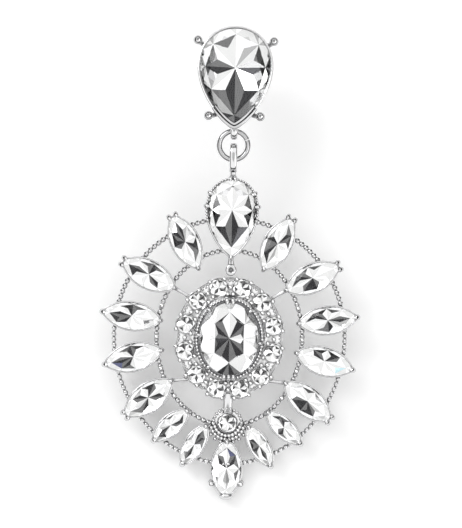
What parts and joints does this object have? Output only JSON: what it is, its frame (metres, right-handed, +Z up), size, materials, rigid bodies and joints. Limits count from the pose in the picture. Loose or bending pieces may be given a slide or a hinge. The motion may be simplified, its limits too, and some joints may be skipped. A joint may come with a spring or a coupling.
{
  "type": "stud earring",
  "caption": "Long stud earring lying on its back: a pear-shaped stud on an ear post, and a jump ring that carries an oval medallion set with round, marquise and pear stones.",
  "frame": {"origin": "middle of the bounding box's underside, on the surface that the earring lies on", "axes": "+Y from the medallion's foot to the stud, +Z up and out of the stones' faces, +X to the right seen from above"},
  "size_m": [0.0376, 0.0678, 0.0157],
  "materials": {
    "silver": "bright polished silver-tone plating",
    "post": "satin steel pin",
    "crystal": "clear faceted glass with a foiled back"
  },
  "bodies": {
    "root": {"bottom_marquise": "crystal", "centre_oval": "crystal", "drop_frame": "silver", "drop_pear": "crystal", "ear_post": "post", "halo_stone_01": "crystal", "halo_stone_02": "crystal", "halo_stone_03": "crystal", "halo_stone_04": "crystal", "halo_stone_05": "crystal", "halo_stone_06": "crystal", "halo_stone_07": "crystal", "halo_stone_08": "crystal", "halo_stone_09": "crystal", "halo_stone_10": "crystal", "halo_stone_11": "crystal", "halo_stone_12": "crystal", "jump_ring": "silver", "marquise_left_1": "crystal", "marquise_left_2": "crystal", "marquise_left_3": "crystal", "marquise_left_4": "crystal", "marquise_left_5": "crystal", "marquise_left_6": "crystal", "marquise_left_7": "crystal", "marquise_right_1": "crystal", "marquise_right_2": "crystal", "marquise_right_3": "crystal", "marquise_right_4": "crystal", "marquise_right_5": "crystal", "marquise_right_6": "crystal", "marquise_right_7": "crystal", "small_round": "crystal", "stud_pear": "crystal", "stud_setting": "silver"}
  },
  "joints": []
}
